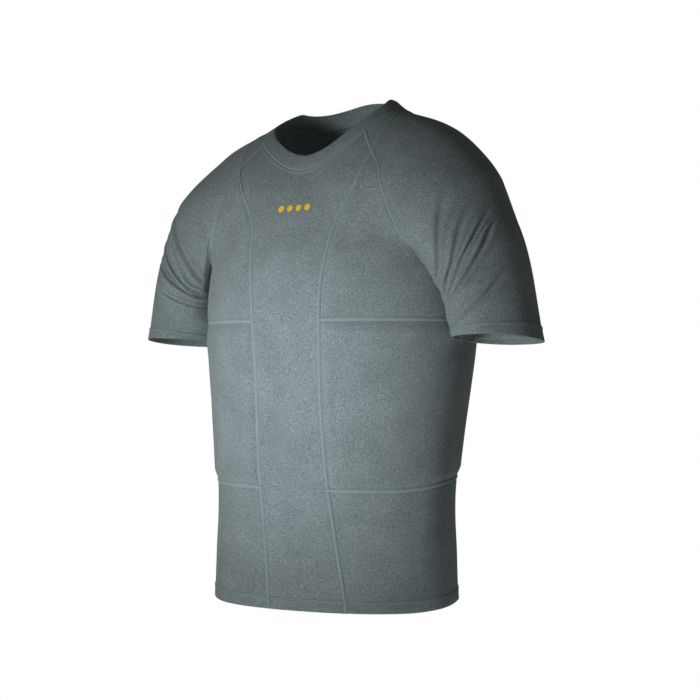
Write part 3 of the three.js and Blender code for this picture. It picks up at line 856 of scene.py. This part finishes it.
def heathered_jersey():
    """Knitted polyester of mixed light and dark yarns: fine flecks, faint clouds, a soft grain"""
    material, shader = new_material("heathered_polyester_jersey", 0.86, 0.18)
    place = add_node(material, "ShaderNodeTexCoord").outputs["Object"]
    fleck = add_node(material, "ShaderNodeTexNoise", {
        "Vector": place, "Scale": FLECKS_PER_METRE, "Detail": 3.0, "Roughness": 0.65,
    })
    cloud = add_node(material, "ShaderNodeTexNoise", {
        "Vector": place, "Scale": CLOUDS_PER_METRE, "Detail": 2.0,
    })
    flecks = ramp(material, fleck.outputs["Fac"], (
        (0.34, "#566367"), (0.46, "#7a888b"), (0.54, "#899799"), (0.66, "#b4bec0"),
    ))
    clouds = ramp(material, cloud.outputs["Fac"], ((0.35, "#f0f0f0"), (0.65, "#ffffff")))
    colour = add_node(material, "ShaderNodeMix", {"Factor": 1.0, 6: flecks, 7: clouds},
                      data_type="RGBA", blend_type="MULTIPLY")
    knit = add_node(material, "ShaderNodeTexNoise", {"Vector": place, "Scale": KNIT_PER_METRE, "Detail": 1.0})
    bump = add_node(material, "ShaderNodeBump", {
        "Height": knit.outputs["Fac"], "Strength": 0.35, "Distance": 0.0003,
    })
    material.node_tree.links.new(colour.outputs[2], shader.inputs["Base Color"])
    material.node_tree.links.new(bump.outputs["Normal"], shader.inputs["Normal"])
    return material


def stitched_thread(name, light, dark, stitch):
    """Textured polyester thread: slanting light ridges and darker gaps, 0.31 of stitch apart, in mm"""
    material, shader = new_material(name, 0.7, 0.1)
    uv = add_node(material, "ShaderNodeUVMap", uv_map="UVMap").outputs["UV"]
    slant = add_node(material, "ShaderNodeMapping", {"Vector": uv, "Rotation": (0, 0, math.radians(28))})
    wave = add_node(material, "ShaderNodeTexWave", {
        "Vector": slant.outputs["Vector"],
        "Scale": 3.14 / stitch / math.pi,
        "Distortion": 1.2,
        "Detail": 1.0,
    }, bands_direction="Y")
    colour = ramp(material, wave.outputs["Fac"], ((0.1, dark), (0.55, light)))
    bump = add_node(material, "ShaderNodeBump", {
        "Height": wave.outputs["Fac"], "Strength": 0.6, "Distance": 0.0004,
    })
    material.node_tree.links.new(colour, shader.inputs["Base Color"])
    material.node_tree.links.new(bump.outputs["Normal"], shader.inputs["Normal"])
    return material


def rubber_print():
    """Soft yellow transfer print, smoother than the cloth, with faint knit showing through"""
    material, shader = new_material("yellow_transfer_print", 0.55, 0.0)
    place = add_node(material, "ShaderNodeTexCoord").outputs["Object"]
    grain = add_node(material, "ShaderNodeTexNoise", {
        "Vector": place, "Scale": PRINT_GRAIN_PER_METRE, "Detail": 1.0,
    })
    colour = ramp(material, grain.outputs["Fac"], ((0.3, "#f7c60c"), (0.7, "#ffe044")))
    bump = add_node(material, "ShaderNodeBump", {
        "Height": grain.outputs["Fac"], "Strength": 0.2, "Distance": 0.0002,
    })
    material.node_tree.links.new(colour, shader.inputs["Base Color"])
    material.node_tree.links.new(bump.outputs["Normal"], shader.inputs["Normal"])
    return material


# Camera, made before the pieces
def camera():
    turned = math.radians(VIEW_ANGLE)
    data = bpy.data.cameras.new("camera")
    data.lens = LENS
    data.shift_x, data.shift_y = VIEW_SHIFT
    obj = bpy.data.objects.new("camera", data)
    away = VIEW_DISTANCE * MM
    obj.location = (away * math.sin(turned), -away * math.cos(turned), VIEW_LEVEL * MM)
    obj.rotation_euler = (math.radians(90), 0, turned)
    bpy.context.scene.collection.objects.link(obj)
    bpy.context.scene.camera = obj


camera()


# Pieces
SIDES = {"left": 1, "right": -1}
jersey = heathered_jersey()
flatlock = stitched_thread("flatlock_thread", "#a3b6b7", "#6d8283", 2.4)
cover = stitched_thread("cover_stitch_thread", "#a0b3b4", "#5f7273", 2.6)

panels = {
    "front_middle": body_piece("front_middle", front_middle_panel, 76, 230, (170, 600), 0, jersey),
    "back": body_piece("back", back_panel, 150, 230, (400, 640), 0, jersey),
}
for name, side in SIDES.items():
    for piece, panel, columns, rows, size, pad in (
        ("chest", chest_panel(side), 64, 64, (190, 180), PADDED_RISE / 2),
        ("rib", rib_panel(side), 90, 76, (270, 219), PADDED_RISE + PAD_CROWN),
        ("lower", lower_panel(side), 90, 56, (270, 159), 0),
    ):
        whole = f"{piece}_{name}"
        panels[whole] = body_piece(whole, panel, columns, rows, size, pad, jersey)
    panels[f"sleeve_{name}"] = sleeve_piece(f"sleeve_{name}", side, jersey)


def collar_shape(down, across):
    angle = mix(-180, 180, across)
    return body_cell(angle, neck_drop(angle) - mix(COLLAR_HEIGHT, SEAM_GAP / 2, down))


def collar_lift(down, across, p):
    return 0.9 * np.sin(np.pi * down) ** 0.7 + 0.4 * unevenness(p)


panels["collar"] = cloth_grid("collar_cloth", 280, 10, collar_shape, collar_lift, COLLAR_THICK, jersey)
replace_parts(panels["collar"], "collar")

SHARES = np.linspace(0, 1, 160)
WHOLE_TURN = np.linspace(-180, 180, 400)
NECKLINE = neck_drop(WHOLE_TURN)
HEM_STITCH_LINE = np.full(WHOLE_TURN.shape, HEM_DROP - HEM_FOLD)
bands = [
    band("neck_seam", body_line(WHOLE_TURN, NECKLINE), 4.5, 0.8, crowned, flatlock),
    band("neck_cover_stitch", body_line(WHOLE_TURN, NECKLINE + 5), 4.2, 0.6, twin, cover, proud=0.2),
    band("neck_seam_inside", body_line(WHOLE_TURN, NECKLINE), 7.0, 0.8, crowned, cover, inward=2.4),
    band("hem_cover_stitch", body_line(WHOLE_TURN, HEM_STITCH_LINE), 5.0, 0.7, twin, cover, proud=0.3),
]
for name, side in SIDES.items():
    body_seams = {
        "raglan_front_seam": on_curve(RAGLAN_FRONT_SEAM, SHARES),
        "raglan_back_seam": on_curve(RAGLAN_BACK_SEAM, SHARES),
        "princess_seam": princess_edge(SHARES, PRINCESS_DROP, HEM_DROP),
        "side_seam": side_edge(SHARES, UNDERARM[1], HEM_DROP),
    }
    for seam, (angles, drops) in body_seams.items():
        line = body_line(side * angles, drops)
        bands.append(band(f"{seam}_{name}", line, 5.4, 0.9, crowned, flatlock))
    for seam, drop in (("chest_seam", CHEST_SEAM_DROP), ("rib_seam", RIB_SEAM_DROP)):
        angles = mix(angle_at(PRINCESS_SEAM, drop), angle_at(SIDE_SEAM_LINE, drop), SHARES)
        line = body_line(side * angles, np.full(angles.shape, drop))
        bands.append(band(f"{seam}_{name}", line, 5.2, 0.9, crowned, flatlock))
    tack = side * (angle_at(PRINCESS_SEAM, RIB_SEAM_DROP) + np.linspace(-2.2, 2.2, 12))
    line = body_line(tack, np.full(tack.shape, RIB_SEAM_DROP))
    bands.append(band(f"bar_tack_{name}", line, 3.2, 1.5, crowned, flatlock))
    line = sleeve_line(side, mix(0.004, 0.09, SHARES), mix(0.3, 0.005, SHARES))
    bands.append(band(f"shoulder_seam_{name}", line, 4.6, 0.9, crowned, flatlock))
    line = sleeve_line(side, mix(ARMHOLE_SHARE, 0.995, SHARES), np.full(SHARES.shape, 0.005))
    bands.append(band(f"underarm_seam_{name}", line, 5.0, 0.9, crowned, flatlock))
    line = sleeve_line(side, np.full(SHARES.shape, CUFF_STITCH), mix(0.006, 0.994, SHARES))
    bands.append(band(f"cuff_cover_stitch_{name}", line, 4.8, 0.8, twin, cover, proud=0.5))

# A plain row of discs printed on the chest
DISC_ACROSS = 9.0
DISC_STEP = 14.0
DISC_DROP = 129.0
DISC_RISE = 0.4
CHEST_RADIUS = 122.0
yellow = rubber_print()
discs = []
for i in range(4):
    middle = (i - 1.5) * DISC_STEP
    bm = bmesh.new()
    bmesh.ops.create_circle(bm, cap_ends=True, cap_tris=True, segments=40, radius=DISC_ACROSS / 2)
    mesh = bpy.data.meshes.new(f"chest_disc_{i + 1}")
    bm.to_mesh(mesh)
    bm.free()
    flat = numbers(mesh.vertices, "co", 3)
    angle = np.degrees((flat[:, 0] + middle) / CHEST_RADIUS)
    p, out = body_line(angle, DISC_DROP - flat[:, 1])
    set_places(mesh, lean(p + out * DISC_RISE))
    mesh.materials.append(yellow)
    disc = bpy.data.objects.new(mesh.name, mesh)
    bpy.context.scene.collection.objects.link(disc)
    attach(disc, "root")
    discs.append(disc)

# Stage
def stage_floor():
    bm = bmesh.new()
    bmesh.ops.create_circle(bm, cap_ends=True, segments=96, radius=1.5)
    mesh = bpy.data.meshes.new("floor")
    bm.to_mesh(mesh)
    bm.free()
    material, shader = new_material("pale_painted_floor", 0.9, 0.0)
    shader.inputs["Base Color"].default_value = linear("#eeeeec")
    mesh.materials.append(material)
    floor = bpy.data.objects.new("floor", mesh)
    floor.location.z = -1.45
    bpy.context.scene.collection.objects.link(floor)


def soft_light(name, azimuth, height, distance, size, power, spread=180):
    """A large soft light aimed at the middle of the shirt"""
    turned = math.radians(azimuth)
    lamp = bpy.data.lights.new(name, "AREA")
    lamp.size = size
    lamp.energy = power
    lamp.spread = math.radians(spread)
    obj = bpy.data.objects.new(name, lamp)
    obj.location = (distance * math.sin(turned), -distance * math.cos(turned), height)
    obj.rotation_euler = (Vector((0, 0, -0.33)) - obj.location).to_track_quat("-Z", "Y").to_euler()
    bpy.context.scene.collection.objects.link(obj)


def floor_light():
    """A wide light under the hem that shines down, so that the pale floor lights the shirt"""
    lamp = bpy.data.lights.new("floor_light", "AREA")
    lamp.size = 3.0
    lamp.energy = 13
    obj = bpy.data.objects.new("floor_light", lamp)
    obj.location = (0, 0, -0.95)
    bpy.context.scene.collection.objects.link(obj)


def light_tent():
    """White all round to the eye, with only a little of it lighting the cloth"""
    world = bpy.data.worlds.new("light_tent")
    world.use_nodes = True
    nodes, links = world.node_tree.nodes, world.node_tree.links
    seen = nodes.new("ShaderNodeLightPath")
    strength = nodes.new("ShaderNodeMapRange")
    strength.inputs["To Min"].default_value = 0.05
    strength.inputs["To Max"].default_value = 1.0
    links.new(seen.outputs["Is Camera Ray"], strength.inputs["Value"])
    links.new(strength.outputs["Result"], nodes["Background"].inputs["Strength"])
    nodes["Background"].inputs["Color"].default_value = (1, 1, 1, 1)
    bpy.context.scene.world = world


stage_floor()
light_tent()
soft_light("key_light", -6, -0.62, 2.0, 0.45, 0.9, 24)
soft_light("left_light", -64, -0.40, 2.4, 0.6, 4.4)
soft_light("near_light", 62, -0.5, 2.6, 0.8, 2.6)
soft_light("back_light", 205, -0.1, 2.4, 1.4, 16)
floor_light()
bpy.context.scene.view_settings.view_transform = "Standard"

# The cut of each sheet in metres, smaller than its worn size because the jersey is stretched
SHEETS = {
    "front_middle": ((0.22, 0.60), 0.064, discs),
    "back": ((0.45, 0.65), 0.170, ()),
    "lower_left": ((0.25, 0.16), 0.037, ()),
    "lower_right": ((0.25, 0.16), 0.037, ()),
    "sleeve_left": ((0.42, 0.38), 0.104, ()),
    "sleeve_right": ((0.42, 0.38), 0.104, ()),
    "collar": ((0.60, 0.020), 0.0115, bands[:3]),
}
for name, (flat, area, pieces) in SHEETS.items():
    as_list(pieces)
